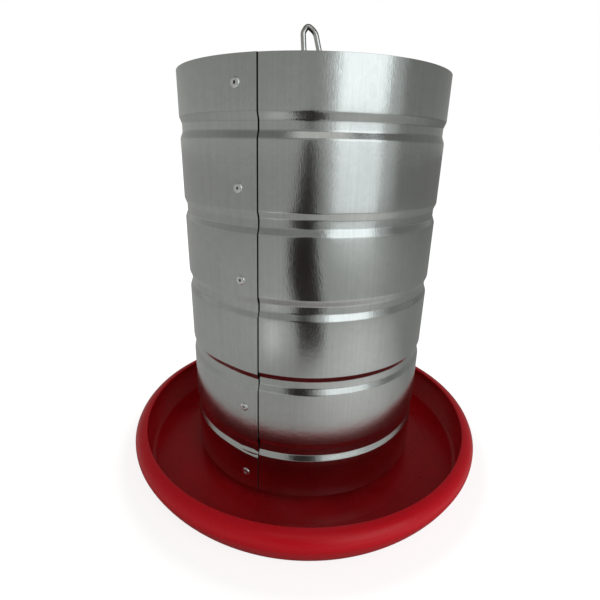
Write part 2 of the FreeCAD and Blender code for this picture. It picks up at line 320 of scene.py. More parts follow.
def wire(points, radius, segments, end_round, groove=None):
    """Round wire along points, with rounded ends. groove(angle, point) takes depth off the radius."""
    ring_plan = []
    last = len(points) - 1
    for index, point in enumerate(points):
        before = points[max(index - 1, 0)]
        after = points[min(index + 1, last)]
        heading = (after - before).normalized()
        if index == 0:
            ring_plan += rounded_end(point, heading, heading, radius, end_round)
        elif index == last:
            ring_plan += reversed(rounded_end(point, -heading, heading, radius, end_round))
        else:
            ring_plan.append((point, heading, radius))
    side = ring_plan[0][1].orthogonal().normalized()
    vertices = []
    rings = []
    for centre, heading, reach in ring_plan:
        side = (side - heading * side.dot(heading)).normalized()
        up = heading.cross(side)
        ring = []
        for index in range(segments):
            angle = TAU * index / segments
            depth = groove(angle, centre) if groove else 0.0
            ring.append(len(vertices))
            vertices.append(centre + (side * math.cos(angle) + up * math.sin(angle)) * (reach - depth))
        rings.append(ring)
    return vertices, band_faces(rings) + [rings[0][::-1], rings[-1]]


def drill(piece, holes):
    """Cut round holes, each a start, an end and a radius, and apply the cut to the mesh."""
    cutters = []
    for index, (start, end, radius) in enumerate(holes):
        direction = (end - start).normalized()
        turn = direction.to_track_quat("Z", "Y").to_matrix().to_4x4()
        place = Matrix.Translation(start) @ turn
        length = (end - start).length
        outline = [(0, 0), (radius, 0), (radius, length), (0, length)]
        vertices, faces = lathe(outline, CUTTER_SEGMENTS, False, place)
        cutters.append(new_piece(f"cutter_{index}", vertices, faces, piece.data.materials[0]))
    for cutter in cutters:
        cut = piece.modifiers.new("hole", "BOOLEAN")
        cut.operation = "DIFFERENCE"
        cut.solver = "EXACT"
        cut.object = cutter
    graph = bpy.context.evaluated_depsgraph_get()
    cut_mesh = bpy.data.meshes.new_from_object(piece.evaluated_get(graph))
    old_mesh = piece.data
    piece.modifiers.clear()
    piece.data = cut_mesh
    cut_mesh.name = piece.name
    bpy.data.meshes.remove(old_mesh)
    for cutter in cutters:
        bpy.data.objects.remove(cutter)
    cut_mesh.shade_smooth()
    cut_mesh.set_sharp_from_angle(angle=math.radians(SHARP_ANGLE))


# ---- materials ----

class Recipe:
    """A node material with one Principled shader, and short calls to add and join nodes."""

    def __init__(self, name):
        self.material = bpy.data.materials.new(name)
        self.material.use_nodes = True
        self.tree = self.material.node_tree
        self.shader = self.tree.nodes["Principled BSDF"]
        self.coords = self.add("ShaderNodeTexCoord").outputs["Object"]

    def add(self, kind, settings=None, **inputs):
        node = self.tree.nodes.new(kind)
        for key, value in (settings or {}).items():
            setattr(node, key, value)
        for key, value in inputs.items():
            self.feed(node.inputs[key.replace("_", " ")], value)
        return node

    def feed(self, socket, value):
        if isinstance(value, bpy.types.NodeSocket):
            self.tree.links.new(value, socket)
        else:
            socket.default_value = value

    def fixed(self, **inputs):
        for key, value in inputs.items():
            self.shader.inputs[key.replace("_", " ")].default_value = value

    def drive(self, **inputs):
        for key, value in inputs.items():
            self.tree.links.new(value, self.shader.inputs[key.replace("_", " ")])

    def noise(self, scale, detail=2.0, roughness=0.5, vector=None, distortion=0.0):
        node = self.add("ShaderNodeTexNoise", Scale=scale, Detail=detail, Roughness=roughness,
                        Distortion=distortion)
        self.tree.links.new(vector or self.coords, node.inputs["Vector"])
        return node.outputs["Fac"]

    def ramp(self, factor, low, high, low_value, high_value):
        node = self.add("ShaderNodeMapRange", {"clamp": True})
        self.tree.links.new(factor, node.inputs["Value"])
        limits = {"From Min": low, "From Max": high, "To Min": low_value, "To Max": high_value}
        for key, value in limits.items():
            node.inputs[key].default_value = value
        return node.outputs["Result"]

    def math(self, operation, first, second=0.0, third=0.0):
        node = self.add("ShaderNodeMath", {"operation": operation})
        for socket, value in zip(node.inputs, (first, second, third)):
            self.feed(socket, value)
        return node.outputs[0]

    def mix(self, factor, first, second):
        node = self.add("ShaderNodeMix", {"data_type": "RGBA"})
        self.feed(node.inputs[0], factor)
        self.feed(node.inputs[6], first)
        self.feed(node.inputs[7], second)
        return node.outputs[2]

    def bump(self, height, distance, under=None):
        node = self.add("ShaderNodeBump", Strength=1.0, Distance=distance)
        self.tree.links.new(height, node.inputs["Height"])
        if under is not None:
            self.tree.links.new(under, node.inputs["Normal"])
        return node.outputs["Normal"]

    def around(self):
        """Coordinates (azimuth in radians, distance from the axis, height) of the shaded point."""
        split = self.add("ShaderNodeSeparateXYZ")
        self.tree.links.new(self.coords, split.inputs[0])
        x, y, z = split.outputs
        azimuth = self.math("ARCTAN2", x, self.math("MULTIPLY", y, -1.0))
        squares = self.math("ADD", self.math("MULTIPLY", x, x), self.math("MULTIPLY", y, y))
        return azimuth, self.math("SQRT", squares), z

    def vector(self, x, y, z):
        node = self.add("ShaderNodeCombineXYZ")
        for socket, value in zip(node.inputs, (x, y, z)):
            self.feed(socket, value)
        return node.outputs[0]


def galvanised_sheet():
    """Bright zinc-coated sheet: fine upright grain, faint spangle, soft tone, and a painted shadow line
    beside the lap's edge.
    """
    recipe = Recipe("galvanised_sheet")
    azimuth, _, height = recipe.around()
    arc = recipe.math("MULTIPLY", azimuth, TUBE_RADIUS)
    upright = recipe.vector(arc, 0.0, recipe.math("MULTIPLY", height, 0.4))
    grain = recipe.noise(650.0, 3.0, 0.6, upright)
    dimple = recipe.noise(120.0, 2.0, 0.5)
    spangle = recipe.add("ShaderNodeTexVoronoi", {"feature": "F1"}, Scale=190.0)
    recipe.tree.links.new(recipe.coords, spangle.inputs["Vector"])
    flake = recipe.add("ShaderNodeSeparateColor")
    recipe.tree.links.new(spangle.outputs["Color"], flake.inputs[0])
    cloud = recipe.noise(9.0, 3.0, 0.55)
    streak_space = recipe.vector(recipe.math("MULTIPLY", azimuth, 14.0), 0.0,
                                 recipe.math("MULTIPLY", height, 1.6))
    streak = recipe.noise(4.0, 3.0, 0.6, streak_space)
    tone = recipe.math("ADD", recipe.math("MULTIPLY", cloud, 0.6), recipe.math("MULTIPLY", streak, 0.4))
    tone = recipe.math("ADD", tone, recipe.math("MULTIPLY_ADD", flake.outputs[0], 0.08, -0.04))
    tone = recipe.math("ADD", tone, recipe.math("MULTIPLY_ADD", grain, 0.2, -0.1))
    bright = recipe.mix(recipe.ramp(tone, 0.32, 0.68, 0.0, 1.0),
                        (0.53, 0.54, 0.525, 1), (0.64, 0.65, 0.635, 1))
    # Painted shadow: a dark, rougher strip just past the lap's edge, fainter near the foot, stands in for
    # the shade in the gap under the loose edge.
    edge = recipe.ramp(height, TUBE_BOTTOM, TUBE_TOP,
                       math.radians(SEAM_BOTTOM_AZIMUTH), math.radians(SEAM_TOP_AZIMUTH))
    past_edge = recipe.math("SUBTRACT", azimuth, edge)
    begun = recipe.ramp(past_edge, -0.0018, -0.0006, 0.0, 1.0)
    ended = recipe.ramp(past_edge, LAP_SHADE * 0.75, LAP_SHADE, 1.0, 0.0)
    painted_lap_shadow = recipe.math("MULTIPLY", begun, ended)
    painted_lap_shadow = recipe.math("MULTIPLY", painted_lap_shadow, recipe.ramp(height, *LAP_SHADE_FOOT, 0.45, 1.0))
    recipe.drive(Base_Color=recipe.mix(painted_lap_shadow, bright, (0.012, 0.013, 0.013, 1)))
    rough = recipe.ramp(recipe.math("ADD", recipe.math("MULTIPLY", cloud, 0.5),
                                    recipe.math("MULTIPLY", grain, 0.5)), 0.3, 0.7, 0.13, 0.21)
    recipe.drive(Roughness=recipe.math("MULTIPLY_ADD", painted_lap_shadow, 0.4, rough))
    fine = recipe.bump(grain, 0.00008)
    recipe.drive(Normal=recipe.bump(dimple, 0.00006, fine))
    recipe.fixed(Metallic=1.0)
    return recipe.material


def red_plastic():
    """Moulded red plastic: outer wall and lip crest brighter as painted light, inside darker as painted
    shade, with fine rubbed scratches.
    """
    recipe = Recipe("red_plastic")
    azimuth, distance, height = recipe.around()
    cloud = recipe.noise(14.0, 3.0, 0.6)
    speck = recipe.noise(420.0, 2.0, 0.5)
    lane = recipe.vector(recipe.math("MULTIPLY", azimuth, 3.0), recipe.math("MULTIPLY", distance, 420.0),
                         recipe.math("MULTIPLY", height, 420.0))
    scratch = recipe.ramp(recipe.noise(1.6, 2.0, 0.7, lane), 0.66, 0.74, 0.0, 1.0)
    # Mottled red of the inside: random tone, kept darker than the rim as painted shade.
    mottle_and_painted_shade = recipe.mix(recipe.ramp(cloud, 0.35, 0.65, 0.0, 1.0),
                      (0.52, 0.003, 0.008, 1), (0.62, 0.005, 0.012, 1))
    # Painted light: the outward-facing wall and the lip's crest get a brighter red.
    facing = recipe.add("ShaderNodeVectorMath", {"operation": "DOT_PRODUCT"})
    recipe.tree.links.new(recipe.coords, facing.inputs[0])
    recipe.tree.links.new(recipe.add("ShaderNodeTexCoord").outputs["Normal"], facing.inputs[1])
    outer = recipe.ramp(facing.outputs["Value"], 0.01, 0.09, 0.0, 1.0)
    crest = recipe.math("MAXIMUM", outer, recipe.ramp(height, 44 * MM, 47 * MM, 0.0, 1.0))
    rim = recipe.math("MULTIPLY", crest, recipe.ramp(distance, 0.200, 0.210, 0.0, 1.0))
    base = recipe.mix(rim, mottle_and_painted_shade, (0.92, 0.010, 0.024, 1))
    colour = recipe.mix(recipe.math("MULTIPLY", scratch, 0.2), base, (0.70, 0.08, 0.09, 1))
    recipe.drive(Base_Color=colour)
    rough = recipe.ramp(cloud, 0.3, 0.7, 0.24, 0.34)
    recipe.drive(Roughness=recipe.math("MULTIPLY_ADD", scratch, 0.18, rough))
    skin = recipe.bump(speck, 0.00004)
    recipe.drive(Normal=recipe.bump(scratch, 0.00004, skin))
    recipe.fixed(IOR=1.49, Specular_IOR_Level=0.25)
    return recipe.material


def plain_metal(name, dark, light, rough_low, rough_high, scale, depth):
    """Metal with mottled tone and roughness and a fine surface grain."""
    recipe = Recipe(name)
    mottle = recipe.noise(scale, 3.0, 0.6)
    grain = recipe.noise(scale * 9, 2.0, 0.5)
    share = recipe.ramp(mottle, 0.35, 0.65, 0.0, 1.0)
    recipe.drive(Base_Color=recipe.mix(share, dark, light))
    recipe.drive(Roughness=recipe.ramp(mottle, 0.3, 0.7, rough_low, rough_high))
    recipe.drive(Normal=recipe.bump(grain, depth))
    recipe.fixed(Metallic=1.0)
    return recipe.material


def rivet_aluminium():
    return plain_metal("rivet_aluminium", (0.84, 0.85, 0.85, 1), (0.95, 0.96, 0.96, 1),
                       0.26, 0.40, 260.0, 0.00002)


def mandrel_steel():
    return plain_metal("mandrel_steel", (0.10, 0.10, 0.09, 1), (0.24, 0.23, 0.21, 1),
                       0.40, 0.60, 500.0, 0.00004)


def rod_steel():
    return plain_metal("rod_steel", (0.56, 0.56, 0.54, 1), (0.72, 0.72, 0.69, 1),
                       0.14, 0.26, 160.0, 0.00004)


def zinc_fastener():
    return plain_metal("zinc_fastener", (0.52, 0.53, 0.52, 1), (0.68, 0.69, 0.67, 1),
                       0.22, 0.36, 220.0, 0.00003)


def galvanised_bar():
    return plain_metal("galvanised_bar", (0.42, 0.43, 0.42, 1), (0.58, 0.59, 0.57, 1),
                       0.30, 0.44, 120.0, 0.00008)


def pin_steel():
    return plain_metal("pin_steel", (0.50, 0.50, 0.48, 1), (0.64, 0.64, 0.61, 1),
                       0.20, 0.34, 240.0, 0.00003)


# ---- hopper tube ----

def bead_press(height):
    """How far the sheet is pressed inwards at a height: five trapezoid grooves with soft corners."""
    total = 0.0
    samples = (-1.0, -0.5, 0.0, 0.5, 1.0)
    for offset in samples:
        level = height + offset * BEAD_ROUNDING
        for index in range(BEAD_COUNT):
            lower = BEAD_TOP_LOWER_EDGE - index * BEAD_PITCH
            into = min(level - lower, lower + BEAD_HEIGHT - level)
            total += min(max(into / BEAD_SLOPE, 0.0), 1.0)
    return BEAD_DEPTH * total / len(samples)


def wall_place(turn):
    """Centre and radius of the rolled sheet, a turn in degrees leftwards from the lap's edge."""
    if turn <= 180:
        return Vector((0, 0, 0)), TUBE_RADIUS
    if turn <= 360:
        return outward(SEAM_AZIMUTH) * (-LAP_STEP / 2), TUBE_RADIUS - LAP_STEP / 2
    return Vector((0, 0, 0)), TUBE_RADIUS - LAP_STEP


def bead_shift(turn, height):
    """The bead ends don't meet at the lap, less so higher up, and the lowest bead sits a little low."""
    lowness = ((TUBE_TOP - height) / (TUBE_TOP - TUBE_BOTTOM)) ** 2
    lowness *= smooth((height - TUBE_BOTTOM) / (40 * MM))
    outer = -BEAD_END_DROP * smooth(1 - turn / 22)
    inner = BEAD_END_RISE * smooth(1 - (360 - turn) / 24)
    sag = -BEAD_SAG * smooth((110 * MM - height) / (40 * MM)) * smooth((height - TUBE_BOTTOM) / (40 * MM))
    return (outer + inner) * lowness + sag


def seam_azimuth(height):
    share = (height - TUBE_BOTTOM) / (TUBE_TOP - TUBE_BOTTOM)
    return SEAM_BOTTOM_AZIMUTH + (SEAM_TOP_AZIMUTH - SEAM_BOTTOM_AZIMUTH) * share


def sheet_point(turn, height, inset):
    """Point on the sheet, inset inwards from its outer face."""
    skew = (SEAM_AZIMUTH - seam_azimuth(height)) * max(0.0, 1 - turn / SEAM_LEAN_TURN)
    azimuth = SEAM_AZIMUTH - turn - skew
    centre, radius = wall_place(turn + skew)
    direction = outward(azimuth)
    press = bead_press(height)
    lift = SEAM_LIFT * smooth(1 - turn / SEAM_LIFT_TURN) * (1 + 0.8 * press / BEAD_DEPTH)
    spot = direction * 1.9 + Vector((0, 0, height * 7))
    wave = 0.35 * MM * noise.noise(spot) + 0.12 * MM * noise.noise(spot * 2.7)
    reach = radius - press - inset + lift + wave
    return centre + direction * reach + Vector((0, 0, height + bead_shift(turn, height)))


def sheet_heights():
    """Rows up the tube: close together at the four creases of each bead, wider elsewhere."""
    rows = [TUBE_BOTTOM, TUBE_BOTTOM + EDGE_BREAK]
    for index in reversed(range(BEAD_COUNT)):
        lower = BEAD_TOP_LOWER_EDGE - index * BEAD_PITCH
        upper = lower + BEAD_HEIGHT
        for crease in (lower, lower + BEAD_SLOPE, upper - BEAD_SLOPE, upper):
            rows += [crease + share * BEAD_ROUNDING for share in (-1.4, -0.8, -0.25, 0.25, 0.8, 1.4)]
    rows += [TUBE_TOP - EDGE_BREAK, TUBE_TOP]
    return [spot[0] for spot in spaced([(row,) for row in rows], ROW_SPACING)]


def tube_sheet():
    """One rolled, beaded sheet with both its faces, cut edges and the lap's loose edge."""
    rows = sheet_heights()
    turns = [step * SEAM_STEP for step in range(SEAM_STEPS)]
    while turns[-1] < 360 + LAP_ANGLE - ROLL_STEP - 0.1:
        turns.append(turns[-1] + ROLL_STEP)
    turns.append(360 + LAP_ANGLE)
    vertices = []
    faces = []
    count = len(rows)
    for turn in turns:
        for face_inset in (0.0, SHEET):
            for index, height in enumerate(rows):
                at_end = index in (0, count - 1)
                towards_middle = EDGE_BREAK if at_end else 0.0
                inset = face_inset + (towards_middle if face_inset == 0 else -towards_middle)
                vertices.append(sheet_point(turn, height, inset))
    column = 2 * count
    for step in range(len(turns) - 1):
        here = step * column
        there = here + column
        for index in range(count - 1):
            faces.append([here + index, there + index, there + index + 1, here + index + 1])
            inner = count + index
            faces.append([here + inner, here + inner + 1, there + inner + 1, there + inner])
        faces.append([here, here + count, there + count, there])
        top = count - 1
        faces.append([here + top, there + top, there + count + top, here + count + top])
    for here in (0, (len(turns) - 1) * column):
        for index in range(count - 1):
            corners = [here + index, here + index + 1, here + count + index + 1, here + count + index]
            faces.append(corners)
    piece = new_piece("hopper_sheet", vertices, faces, MATERIALS["galvanised_sheet"], 40.0)
    settle(piece, "tube_sheet", "tube")


# ---- blind rivets ----

def rivet_outline(grip):
    """Closed outline of a set blind rivet: flange, shank through the stack, swelled tail, bore."""
    tail = -grip - 0.1 * MM
    end = tail - RIVET_TAIL_LENGTH
    rim = 0.35 * MM
    crest = RIVET_BORE_RADIUS + 0.55 * MM
    outline = [(RIVET_HEAD_RADIUS - 0.12 * MM, 0.03 * MM), (RIVET_HEAD_RADIUS, 0.14 * MM),
               (RIVET_HEAD_RADIUS, rim)]
    for step in range(1, 10):
        angle = math.pi / 2 * step / 9
        radius = crest + (RIVET_HEAD_RADIUS - crest) * math.cos(angle)
        outline.append((radius, rim + (RIVET_HEAD_HEIGHT - rim) * math.sin(angle)))
    outline += [(RIVET_BORE_RADIUS + 0.25 * MM, RIVET_HEAD_HEIGHT - 0.03 * MM),
                (RIVET_BORE_RADIUS + 0.08 * MM, RIVET_HEAD_HEIGHT - 0.14 * MM),
                (RIVET_BORE_RADIUS, RIVET_HEAD_HEIGHT - 0.35 * MM), (RIVET_BORE_RADIUS, end + 0.1 * MM),
                (RIVET_BORE_RADIUS + 0.1 * MM, end), (RIVET_SHANK_RADIUS - 0.2 * MM, end)]
    for step in range(9):
        angle = math.pi * step / 8
        bulge = RIVET_TAIL_RADIUS - RIVET_SHANK_RADIUS
        level = end + 0.15 * MM + (RIVET_TAIL_LENGTH - 0.15 * MM) * step / 8
        outline.append((RIVET_SHANK_RADIUS + bulge * math.sin(angle) ** 0.7, level))
    outline += [(RIVET_SHANK_RADIUS, 0.03 * MM)]
    return without_repeats(outline)


def mandrel_outline(grip):
    """Snapped stub in the bore, with the setting head behind the rivet's tail."""
    start = -grip - 0.13 * MM - RIVET_TAIL_LENGTH
    top = RIVET_HEAD_HEIGHT - MANDREL_RECESS
    end = start - MANDREL_HEAD_LENGTH
    outline = [(0, top + 0.12 * MM), (0.55 * MM, top + 0.05 * MM), (0.75 * MM, top - 0.22 * MM),
               (MANDREL_RADIUS - 0.1 * MM, top - 0.3 * MM), (MANDREL_RADIUS, top - 0.45 * MM),
               (MANDREL_RADIUS, start), (MANDREL_HEAD_RADIUS - 0.1 * MM, start)]
    for step in range(7):
        angle = math.pi / 2 * step / 6
        outline.append((MANDREL_HEAD_RADIUS * math.cos(angle) ** 0.8,
                        start - 0.15 * MM - (MANDREL_HEAD_LENGTH - 0.15 * MM) * math.sin(angle)))
    outline[-1] = (0, end)
    return outline


def rivet_and_mandrel(rivet_node, mandrel_node, grip):
    """A rivet and its stub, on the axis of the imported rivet."""
    low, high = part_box(rivet_node)
    middle = (Vector(low) + Vector(high)) / 2
    direction = Vector((middle.x, middle.y, 0)).normalized()
    far = max(Vector((v.co.x, v.co.y, 0)).dot(direction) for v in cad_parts[rivet_node].data.vertices)
    turn = direction.to_track_quat("Z", "Y").to_matrix().to_4x4()
    face = direction * (far - RIVET_HEAD_HEIGHT) + Vector((0, 0, middle.z))
    place = Matrix.Translation(face) @ turn
    vertices, faces = lathe(rivet_outline(grip), 48, True, place)
    rivet = new_piece(f"{rivet_node}_formed", vertices, faces, MATERIALS["rivet_aluminium"], 50.0)
    settle(rivet, rivet_node, "tube")
    vertices, faces = lathe(mandrel_outline(grip), 24, False, place)
    stub = new_piece(f"{mandrel_node}_snapped", vertices, faces, MATERIALS["mandrel_steel"])
    settle(stub, mandrel_node, "tube")


def all_rivets():
    for number in range(1, 6):
        rivet_and_mandrel(f"seam_rivet_{number}", f"seam_rivet_mandrel_{number}", LAP_STEP + SHEET)
    bar_grip = TUBE_RADIUS - BAR_END_RADIUS + BAR_THICKNESS
    for end in ("lower_left", "lower_right", "upper_left", "upper_right"):
        grip = bar_grip - (RIGHT_GRIP_SAVING if end.endswith("right") else 0.0)
        rivet_and_mandrel(f"crossbar_rivet_{end}", f"crossbar_mandrel_{end}", grip)


# ---- crossbars ----

def bar_section(width):
    """Rounded-edge strap section as (across, through) pairs; through runs from 0 to the thickness."""
    half = width / 2 - BAR_EDGE
    loop = []
    corners = ((half, BAR_THICKNESS - BAR_EDGE, 0), (-half, BAR_THICKNESS - BAR_EDGE, 90),
               (-half, BAR_EDGE, 180), (half, BAR_EDGE, 270))
    for across, through, start in corners:
        loop += arc_points((across, through), BAR_EDGE, math.radians(start), math.radians(start + 90), 4)
    dense = spaced(loop + [loop[0]], 2.2 * MM)
    return dense[:-1]


def crossbar(name, node, bottom, tabs_up):
    """Strap with both ends bent and rolled to the wall, its corners rounded, and its holes drilled."""
    bend = BAR_BEND_INSIDE + BAR_THICKNESS
    reach = BAR_END_RADIUS
    stations = []
    for step in range(7):
        share = step / 6
        trim = BAR_TAB_CORNER * (1 - math.sin(math.acos(1 - share))) if share < 1 else 0.0
        stations.append((reach, BAR_TAB_LENGTH - BAR_TAB_CORNER * share, 90.0, trim))
    stations += [(reach, BAR_TAB_LENGTH - BAR_TAB_CORNER - 3 * MM, 90.0, 0.0),
                 (reach, bend + 3 * MM, 90.0, 0.0)]
    for step in range(9):
        angle = 90.0 - 90.0 * step / 8
        turned = math.radians(angle)
        stations.append((reach - bend + bend * math.sin(turned), bend - bend * math.cos(turned), angle, 0.0))
    middle = [(reach - bend) * (1 - step / 14) for step in range(1, 15)]
    stations += [(x, 0.0, 0.0, 0.0) for x in middle]
    mirrored = [(-x, z, -angle, trim) for x, z, angle, trim in reversed(stations[:-1])]
    vertices = []
    rings = []
    for x, z, angle, trim in stations + mirrored:
        turned = math.radians(angle)
        ring = []
        for across, through in bar_section(BAR_WIDTH - 2 * trim):
            inwards = Vector((-math.sin(turned), 0, math.cos(turned)))
            spot = Vector((x, across, z)) + inwards * through
            roll = BAR_END_RADIUS - math.sqrt(BAR_END_RADIUS ** 2 - across ** 2)
            spot.x -= roll * math.sin(turned)
            spot.z = bottom + spot.z if tabs_up else bottom + BAR_THICKNESS - spot.z
            ring.append(len(vertices))
            vertices.append(spot)
        rings.append(ring)
    # known fault: the narrow first ring has fewer points, so wider rings lose their last ones, and
    # the strap is thinned along one edge
    faces = band_faces(rings) + [rings[0][::-1], rings[-1]]
    piece = new_piece(name, vertices, faces, MATERIALS["galvanised_bar"])
    rivet_low, rivet_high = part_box(f"crossbar_rivet_{'upper' if tabs_up else 'lower'}_left")
    rivet_height = (rivet_low[2] + rivet_high[2]) / 2
    side = Vector((TUBE_RADIUS * 1.2, 0, rivet_height))
    drill(piece, [
        (Vector((0, 0, bottom - 5 * MM)), Vector((0, 0, bottom + 9 * MM)), BAR_ROD_HOLE_RADIUS),
        (Vector((-side.x, 0, rivet_height)), side, RIVET_HOLE_RADIUS)])
    settle(piece, node, "tube")


def crossbars():
    upper_low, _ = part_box("upper_crossbar")
    _, lower_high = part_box("lower_crossbar")
    crossbar("upper_strap", "upper_crossbar", upper_low[2], True)
    crossbar("lower_strap", "lower_crossbar", lower_high[2] - BAR_THICKNESS, False)


# ---- feed pan ----

def corner_arc(before, corner, after, radius, steps):
    """Arc that rounds the corner of an outline of (radius, height) points."""
    here = Vector(corner)
    back = (Vector(before) - here).normalized()
    onward = (Vector(after) - here).normalized()
    half = back.angle(onward) / 2
    centre = here + (back + onward).normalized() * (radius / math.sin(half))
    start = here + back * (radius / math.tan(half)) - centre
    end = here + onward * (radius / math.tan(half)) - centre
    first = math.atan2(start.y, start.x)
    sweep = (math.atan2(end.y, end.x) - first + math.pi) % TAU - math.pi
    return arc_points(centre, radius, first, first + sweep, steps)


def tangent_arc(start, heading, end):
    """Centre, radius and end heading of the arc that leaves start along heading and reaches end."""
    chord = Vector(end) - Vector(start)
    normal = Vector((-heading.y, heading.x))
    radius = chord.dot(chord) / (2 * chord.dot(normal))
    centre = Vector(start) + normal * radius
    out = (Vector(end) - centre).normalized()
    return centre, radius, Vector((-out.y, out.x))


def wall_outline(offset, steps):
    """Pan wall from floor to lip, offset inwards from its outer face."""
    points = []
    place = (PAN_FLOOR_RADIUS, 0.0)
    heading = Vector((1, 0))
    for goal in (PAN_SHOULDER, PAN_FLANK, PAN_LIP):
        centre, radius, next_heading = tangent_arc(place, heading, goal)
        first = math.atan2(place[1] - centre.y, place[0] - centre.x)
        last = math.atan2(goal[1] - centre.y, goal[0] - centre.x)
        points += arc_points(centre, radius - offset, first, last, steps)
        place = goal
        heading = next_heading
    return without_repeats(points)


def cone_outline(drop, hub_height, floor_height, top_blend, base_blend, floor_end):
    """Hub, cone and floor as one outline, from the hub's hole outwards."""
    hub = (HUB_HOLE_RADIUS + 0.5 * MM, hub_height)
    top = (CONE_TOP_RADIUS - drop, hub_height)
    base = (CONE_BASE_RADIUS - drop, floor_height)
    end = (floor_end, floor_height)
    points = [hub] + corner_arc(hub, top, base, top_blend, 8)
    points += corner_arc(top, base, end, base_blend, 10)
    return points + [end]


def parting_ridge(height):
    """Fine line that the two halves of the mould leave round the outer wall."""
    return PARTING_RIDGE * math.exp(-((height - PARTING_HEIGHT) / PARTING_WIDTH) ** 2)


def pan():
    """Turned section: cone, floor with its faint moulded ring, wall, inturned lip, foot ring."""
    slope = math.atan2(CONE_TOP_HEIGHT - PAN_WALL, CONE_BASE_RADIUS - CONE_TOP_RADIUS)
    drop = PAN_WALL * math.tan(slope / 2)
    inside = cone_outline(0.0, CONE_TOP_HEIGHT, PAN_WALL, CONE_TOP_BLEND, CONE_BASE_BLEND,
                          FLOOR_RING_RADIUS - FLOOR_RING_WIDTH)
    inside += [(FLOOR_RING_RADIUS, PAN_WALL + 0.1 * MM), (FLOOR_RING_RADIUS + FLOOR_RING_WIDTH, PAN_WALL)]
    inside += wall_outline(PAN_WALL, 12)
    tip = arc_points((PAN_LIP[0], PAN_LIP[1] - PAN_WALL / 2), PAN_WALL / 2, math.pi * 1.5, math.pi * 0.5, 10)
    outside = [(r + parting_ridge(z) * (r > PAN_SHOULDER[0]), z)
               for r, z in reversed(spaced(wall_outline(0.0, 26), 1.0 * MM))]
    under = list(reversed(cone_outline(drop, CONE_TOP_HEIGHT - PAN_WALL, FOOT_RECESS,
                                       CONE_TOP_BLEND - PAN_WALL, CONE_BASE_BLEND + PAN_WALL,
                                       PAN_FLOOR_RADIUS - 26 * MM)))
    foot = [(PAN_FLOOR_RADIUS - 19 * MM, 0.0), (PAN_FLOOR_RADIUS - 20 * MM, 0.05 * MM),
            (PAN_FLOOR_RADIUS - 22 * MM, 0.6 * MM), (PAN_FLOOR_RADIUS - 23.5 * MM, FOOT_RECESS)]
    hole = [(HUB_HOLE_RADIUS, CONE_TOP_HEIGHT - PAN_WALL + 0.4 * MM),
            (HUB_HOLE_RADIUS, CONE_TOP_HEIGHT - 0.4 * MM)]
    outline = without_repeats(inside + tip + outside + foot + under + hole, 2e-5)

    def unevenness(angle, radius, height):
        """Slight out-of-round and wavy lip of a moulding that has cooled unevenly."""
        share = smooth((radius - 160 * MM) / (70 * MM)) * smooth(height / (40 * MM))
        grow = 0.35 * MM * math.sin(2 * angle + 0.7) + 0.2 * MM * math.sin(5 * angle)
        return grow * share, 0.15 * MM * math.sin(3 * angle + 0.4) * share

    vertices, faces = lathe(spaced(outline, 8 * MM), PAN_SEGMENTS, True, shift=unevenness)
    piece = new_piece("feed_pan", vertices, faces, MATERIALS["red_plastic"], 40.0)
    settle(piece, "pan", "base")


# ---- hanger rod ----

def thread_groove(angle, point):
    """Rolled thread on the rod's lower end, fading out above the upper nut."""
    if point.z > THREAD_TOP:
        return 0.0
    fade = smooth((THREAD_TOP - point.z) / (2.5 * THREAD_PITCH))
    phase = (point.z / THREAD_PITCH - angle / TAU) % 1.0
    return THREAD_DEPTH * fade * (1 - abs(2 * phase - 1))


def hanger_rod():
    """Threaded rod, drilled for the height pin, with its closed eye bent at the top."""
    corners = [Vector((0, 0, THREAD_TOP))] + [Vector((x * MM, 0, z * MM)) for x, z in EYE_CORNERS]
    upper = rounded_path(corners, [bend * MM for bend in EYE_BENDS], 0.7 * MM)
    turns = 8
    threaded = int((THREAD_TOP - ROD_BOTTOM) / THREAD_PITCH * turns)
    lower = [Vector((0, 0, ROD_BOTTOM + (THREAD_TOP - ROD_BOTTOM) * step / threaded))
             for step in range(threaded)]
    vertices, faces = wire(lower + upper, ROD_RADIUS, 32, 0.8 * MM, thread_groove)
    piece = new_piece("hanger_rod_bent", vertices, faces, MATERIALS["rod_steel"], 50.0)
    pin_low, pin_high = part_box("height_pin")
    first = (pin_low[2] + pin_high[2]) / 2
    holes = []
    for index in range(PIN_HOLE_COUNT):
        height = first + index * PIN_HOLE_PITCH
        front = Vector((0, -2 * ROD_RADIUS, height))
        back = Vector((0, 2 * ROD_RADIUS, height))
        holes.append((front, back, PIN_HOLE_RADIUS))
    drill(piece, holes)
    settle(piece, "hanger_rod", "base")


def height_pin():
    """Wire pin: straight leg through the rod, bent round into an open finger ring."""
    low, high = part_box("height_pin")
    level = (low[2] + high[2]) / 2
    tip = high[1] - 0.1 * MM
    corners = [Vector((0, tip, level)), Vector((0, PIN_RING_CENTRE_Y + PIN_RING_RADIUS + 0.5 * MM, level))]
    corner_radius = PIN_RING_RADIUS / math.cos(math.pi / PIN_RING_SIDES)
    for index in range(1, PIN_RING_SIDES - 1):
        angle = math.radians(360 / PIN_RING_SIDES * (index + 0.5))
        corners.append(Vector((corner_radius * math.sin(angle),
                               PIN_RING_CENTRE_Y + corner_radius * math.cos(angle), level)))
    last = math.radians(PIN_RING_END)
    corners.append(Vector((PIN_RING_RADIUS * math.sin(last),
                           PIN_RING_CENTRE_Y + PIN_RING_RADIUS * math.cos(last), level)))
    radii = [3.0 * MM] + [PIN_RING_RADIUS * 0.98] * (PIN_RING_SIDES - 2)
    points = rounded_path(corners, radii, 0.8 * MM)
    vertices, faces = wire(points, PIN_RADIUS, 24, 0.7 * MM)
    piece = new_piece("height_pin_bent", vertices, faces, MATERIALS["pin_steel"])
    settle(piece, "height_pin", "height_pin")


# ---- nuts and washers ----

